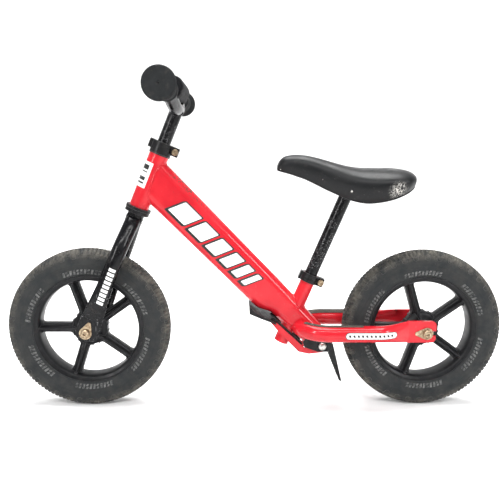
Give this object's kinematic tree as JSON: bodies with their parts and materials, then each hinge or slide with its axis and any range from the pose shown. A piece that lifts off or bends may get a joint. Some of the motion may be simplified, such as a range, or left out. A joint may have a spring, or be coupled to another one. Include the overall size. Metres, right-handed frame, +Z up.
{
  "type": "balance bike",
  "caption": "Child's balance bike: two foam-tyred plastic wheels, steel frame with footrest stays, adjustable saddle and handlebar, and a heel-operated rear tyre brake.",
  "frame": {"origin": "on the ground, midway between the two wheels, on the centre plane", "axes": "+X towards the front wheel, +Y to the rider's left, +Z up"},
  "size_m": [0.864, 0.381, 0.5647],
  "materials": {
    "red_paint": "gloss red powder coat, chipped along edges",
    "black_paint": "gloss black paint, scratched",
    "black_alloy": "satin black anodised",
    "black_steel": "satin black coating on steel",
    "black_plastic": "moulded satin",
    "wheel_plastic": "moulded satin, lightly dusty",
    "tyre_foam": "matt foam, dusty",
    "grip_rubber": "matt rubber, worn pale",
    "pad_cover": "woven cover over foam",
    "saddle_cover": "satin vinyl skin",
    "grit_tape": "coarse grit tape",
    "bright_steel": "bright zinc plate",
    "zinc_steel": "yellow zinc plate, tarnished"
  },
  "bodies": {
    "frame": {"head_tube": "red_paint", "main_tube": "red_paint", "seat_tube": "red_paint", "rear_stay_left": "red_paint", "rear_stay_right": "red_paint", "footrest_tape_left": "grit_tape", "footrest_tape_right": "grit_tape", "headset_upper_bush": "black_plastic", "headset_lower_bush": "black_plastic", "seat_clamp": "black_alloy", "seat_clamp_bolt": "zinc_steel", "rear_spindle": "bright_steel", "rear_spacers": "bright_steel", "rear_retention_washers": "zinc_steel", "rear_axle_bolts": "zinc_steel", "brake_bracket": "black_steel", "brake_bracket_screws": "bright_steel", "brake_pivot_bolt": "bright_steel", "brake_pivot_nut": "bright_steel"},
    "fork": {"steerer_tube": "black_paint", "fork_leg_left": "black_paint", "fork_leg_right": "black_paint", "crown_race": "black_steel", "stem_clamp": "black_alloy", "stem_clamp_bolt": "zinc_steel", "front_spindle": "bright_steel", "front_spacers": "bright_steel", "front_retention_washers": "zinc_steel", "front_axle_bolts": "zinc_steel"},
    "bar": {"handlebar": "black_paint", "handlebar_stem": "black_paint", "handlebar_crossbar": "black_paint", "handlebar_pad": "pad_cover", "grip_left": "grip_rubber", "grip_right": "grip_rubber"},
    "front_wheel": {"front_rim": "wheel_plastic", "front_tyre": "tyre_foam", "front_bearings": "bright_steel"},
    "rear_wheel": {"rear_rim": "wheel_plastic", "rear_tyre": "tyre_foam", "rear_bearings": "bright_steel"},
    "seat": {"seat_post": "black_paint", "seat_plate": "black_paint", "saddle_base": "black_plastic", "saddle_pad": "saddle_cover", "saddle_screws": "bright_steel"},
    "foot_brake": {"brake_lever": "red_paint", "brake_pedal": "black_plastic", "brake_tongue": "black_steel", "brake_return_spring": "bright_steel"}
  },
  "joints": [
    {"name": "steering", "type": "hinge", "parent": "frame", "child": "fork", "pos_m": [0.1839, 0, 0.3983], "axis": [-0.3795, 0, 0.9252], "continuous": true},
    {"name": "front_wheel_spin", "type": "hinge", "parent": "fork", "child": "front_wheel", "pos_m": [0.292, 0, 0.14], "axis": [0, 1, 0], "continuous": true},
    {"name": "handlebar_height", "type": "slide", "parent": "fork", "child": "bar", "axis": [-0.3795, 0, 0.9252], "range_m": [-0.025, 0.03]},
    {"name": "rear_wheel_spin", "type": "hinge", "parent": "frame", "child": "rear_wheel", "pos_m": [-0.292, 0, 0.14], "axis": [0, 1, 0], "continuous": true},
    {"name": "seat_height", "type": "slide", "parent": "frame", "child": "seat", "axis": [-0.3795, 0, 0.9252], "range_m": [-0.11, 0.03]},
    {"name": "foot_brake", "type": "hinge", "parent": "frame", "child": "foot_brake", "pos_m": [-0.1145, 0, 0.1115], "axis": [0, 1, 0], "range_deg": [0, 21], "stiffness_Nm_per_rad": 1, "springref_deg": -28.65}
  ]
}
